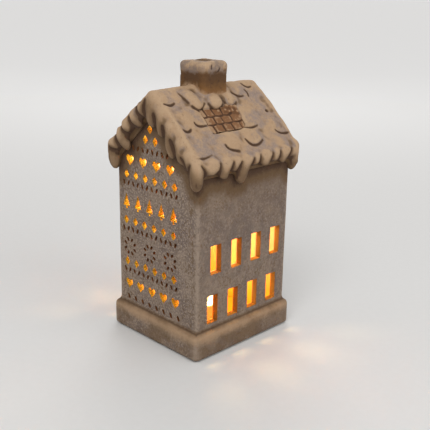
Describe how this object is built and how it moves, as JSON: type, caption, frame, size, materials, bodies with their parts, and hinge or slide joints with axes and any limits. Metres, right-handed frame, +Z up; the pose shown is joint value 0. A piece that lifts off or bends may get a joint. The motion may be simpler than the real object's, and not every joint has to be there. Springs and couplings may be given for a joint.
{
  "type": "ceramic christmas house",
  "caption": "Slab-built ceramic lantern house with a punched gable, cut windows, a lift-off snow-covered roof with chimney, and a battery tealight inside.",
  "frame": {"origin": "on the table under the middle of the house", "axes": "+Z up, Y along the ridge with the punched gable facing -Y, +X towards the right window wall"},
  "size_m": [0.1138, 0.1254, 0.2381],
  "materials": {
    "wall_clay": "matt grey-beige engobe with brown wash in the hollows",
    "raw_clay": "bare fired terracotta",
    "snow_clay": "matt sandy beige engobe, brown in the grooves",
    "tile_clay": "matt reddish brown stain",
    "stack_clay": "matt dark brown stain",
    "felt": "pressed felt",
    "white_plastic": "satin moulded",
    "flame_plastic": "translucent, lit from inside",
    "led_resin": "clear cast resin",
    "steel": "nickel plated"
  },
  "bodies": {
    "house": {"floor_slab": "raw_clay", "front_gable_wall": "wall_clay", "rear_gable_wall": "wall_clay", "right_window_wall": "wall_clay", "left_window_wall": "wall_clay", "plinth_front": "wall_clay", "plinth_rear": "wall_clay", "plinth_right": "wall_clay", "plinth_left": "wall_clay", "felt_front_right": "felt", "felt_front_left": "felt", "felt_rear_right": "felt", "felt_rear_left": "felt"},
    "roof": {"roof_slab_right": "raw_clay", "roof_slab_left": "raw_clay", "snow_blanket_right": "snow_clay", "snow_blanket_left": "snow_clay", "eave_icicles_right": "snow_clay", "eave_icicles_left": "snow_clay", "rake_icicles_front_right": "snow_clay", "rake_icicles_front_left": "snow_clay", "rake_icicles_rear_right": "snow_clay", "rake_icicles_rear_left": "snow_clay", "roof_tiles_right": "tile_clay", "roof_tiles_left": "tile_clay", "chimney_stack": "stack_clay", "chimney_snow_cap": "snow_clay"},
    "tealight": {"tealight_housing": "white_plastic", "flame_lens": "flame_plastic", "led": "led_resin", "coin_cell": "steel", "negative_contact": "steel", "positive_contact": "steel", "bottom_cap": "white_plastic", "battery_door": "white_plastic", "door_screw": "steel"},
    "switch": {"switch_knob": "white_plastic"}
  },
  "joints": [
    {"name": "roof_lift", "type": "slide", "parent": "house", "child": "roof", "axis": [0, 0, 1], "range_m": [0, 0.12]},
    {"name": "tealight_lift", "type": "slide", "parent": "house", "child": "tealight", "axis": [0, 0, 1], "range_m": [0, 0.1]},
    {"name": "switch_slide", "type": "slide", "parent": "tealight", "child": "switch", "axis": [1, 0, 0], "range_m": [0, 0.003]}
  ]
}
